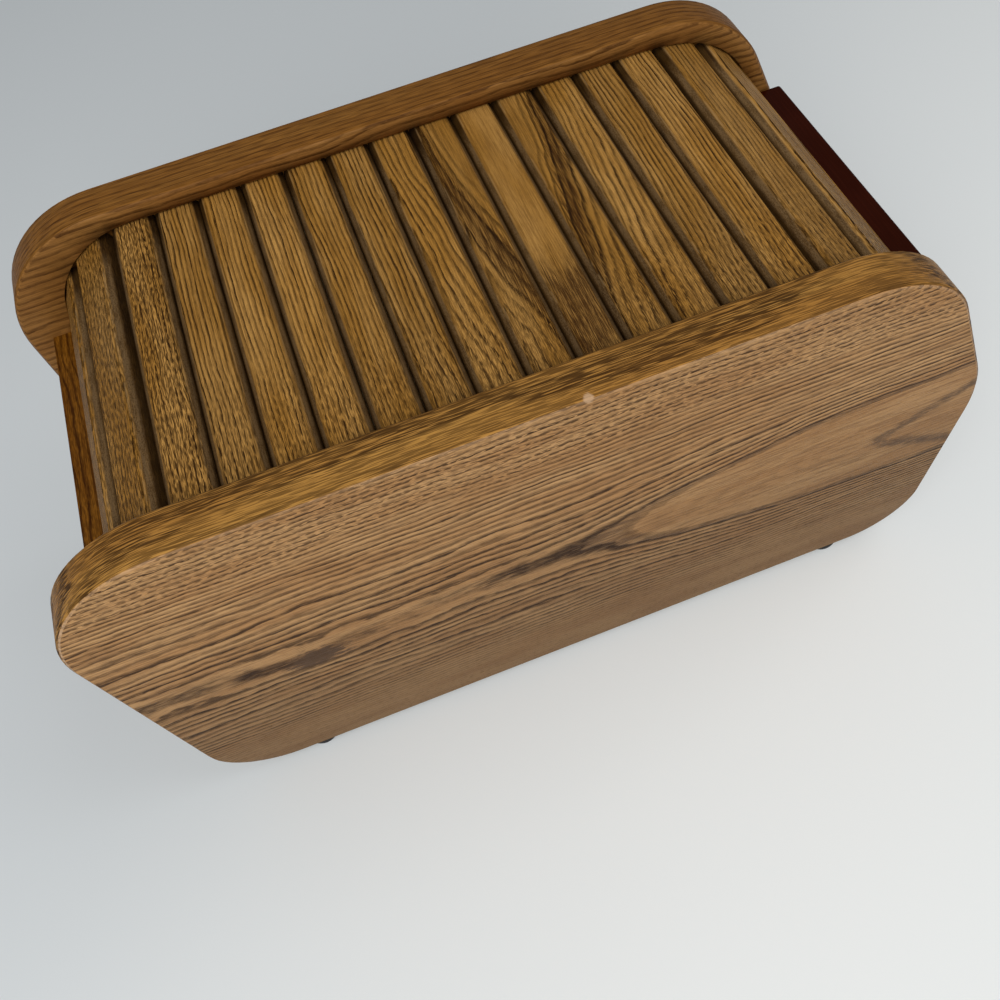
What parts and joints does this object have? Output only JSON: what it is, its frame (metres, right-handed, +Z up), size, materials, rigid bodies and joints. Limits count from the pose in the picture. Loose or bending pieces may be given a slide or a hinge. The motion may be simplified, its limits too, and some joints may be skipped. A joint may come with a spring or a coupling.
{
  "type": "roll-top disk box",
  "caption": "Wooden roll-top box for floppy disks: a slatted curtain in grooved side panels closes the top and front, over tilting dividers.",
  "frame": {"origin": "on the table, below the middle of the box", "axes": "+X to the front (the finger pull), +Y to the far side panel, +Z up"},
  "size_m": [0.392, 0.186, 0.2305],
  "materials": {
    "curtain_oak": "satin clear-coated oak, golden brown",
    "side_oak": "satin clear-coated oak, pinkish brown with fine dark grain",
    "board_oak": "satin clear-coated oak",
    "maroon_wood": "smooth dark maroon lacquer",
    "plywood": "bare plywood",
    "canvas": "unbleached canvas, glued",
    "rubber": "matt black rubber",
    "steel": "plain steel"
  },
  "bodies": {
    "box": {"near_side_panel": "side_oak", "far_side_panel": "side_oak", "back_board": "board_oak", "front_board": "board_oak", "bottom_panel": "plywood", "false_floor": "plywood", "corner_board": "plywood", "false_back": "plywood", "near_divider_rail": "board_oak", "far_divider_rail": "board_oak", "divider_pins": "steel", "rubber_feet": "rubber", "foot_screws": "steel"},
    "curtain_top": {"slat_04": "curtain_oak", "slat_05": "curtain_oak", "slat_06": "curtain_oak", "slat_07": "curtain_oak", "slat_08": "curtain_oak", "slat_09": "curtain_oak", "slat_10": "curtain_oak", "slat_11": "curtain_oak", "slat_12": "curtain_oak", "slat_13": "curtain_oak", "slat_14": "curtain_oak", "slat_15": "curtain_oak", "canvas_top": "canvas"},
    "curtain_turn": {"slat_16": "curtain_oak", "slat_17": "curtain_oak", "slat_18": "curtain_oak", "canvas_turn": "canvas"},
    "curtain_tail": {"slat_19": "curtain_oak", "slat_20": "curtain_oak", "canvas_tail": "canvas"},
    "curtain_bend_1": {"slat_03": "curtain_oak", "canvas_bend_1": "canvas"},
    "curtain_bend_2": {"slat_02": "curtain_oak", "canvas_bend_2": "canvas"},
    "curtain_bend_3": {"slat_01": "curtain_oak", "canvas_bend_3": "canvas"},
    "lead": {"lead_rail": "curtain_oak", "finger_pull": "maroon_wood", "pull_screws": "steel", "canvas_lead": "canvas"},
    "divider_body_1": {"divider_1": "plywood"},
    "divider_body_2": {"divider_2": "plywood"},
    "divider_body_3": {"divider_3": "plywood"}
  },
  "joints": [
    {"name": "curtain_slide", "type": "slide", "parent": "box", "child": "curtain_top", "axis": [-1, 0, 0], "range_m": [0, 0.0192]},
    {"name": "rear_turn", "type": "hinge", "parent": "box", "child": "curtain_turn", "pos_m": [-0.12794, 0, 0.17603], "axis": [0, -1, 0], "range_deg": [0, 30]},
    {"name": "tail_slide", "type": "slide", "parent": "box", "child": "curtain_tail", "axis": [0, 0, -1], "range_m": [0, 0.0192]},
    {"name": "front_bend_1", "type": "hinge", "parent": "box", "child": "curtain_bend_1", "pos_m": [0.10246, 0, 0.11704], "axis": [0, -1, 0], "range_deg": [0, 11.5]},
    {"name": "front_bend_2", "type": "hinge", "parent": "box", "child": "curtain_bend_2", "pos_m": [0.11356, 0, 0.17158], "axis": [0, -1, 0], "range_deg": [0, 27.5]},
    {"name": "front_bend_3", "type": "hinge", "parent": "box", "child": "curtain_bend_3", "pos_m": [0.11147, 0, 0.16901], "axis": [0, -1, 0], "range_deg": [0, 25.4]},
    {"name": "lead_slide", "type": "slide", "parent": "box", "child": "lead", "axis": [-0.4321, 0, 0.9018], "range_m": [0, 0.0192]},
    {"name": "divider_tilt_1", "type": "hinge", "parent": "box", "child": "divider_body_1", "pos_m": [-0.06594, 0, 0.0478], "axis": [0, 1, 0], "range_deg": [-15, 15]},
    {"name": "divider_tilt_2", "type": "hinge", "parent": "box", "child": "divider_body_2", "pos_m": [0.01206, 0, 0.0478], "axis": [0, 1, 0], "range_deg": [-15, 15]},
    {"name": "divider_tilt_3", "type": "hinge", "parent": "box", "child": "divider_body_3", "pos_m": [0.09006, 0, 0.0478], "axis": [0, 1, 0], "range_deg": [-15, 15]}
  ],
  "couplings": [
    {"joint": "rear_turn", "follows": "curtain_slide", "rad_per_m": 27.271},
    {"joint": "tail_slide", "follows": "curtain_slide", "ratio": 1},
    {"joint": "front_bend_1", "follows": "curtain_slide", "rad_per_m": 10.454},
    {"joint": "front_bend_2", "follows": "curtain_slide", "rad_per_m": 24.998},
    {"joint": "front_bend_3", "follows": "curtain_slide", "rad_per_m": 23.089},
    {"joint": "lead_slide", "follows": "curtain_slide", "ratio": 1}
  ]
}
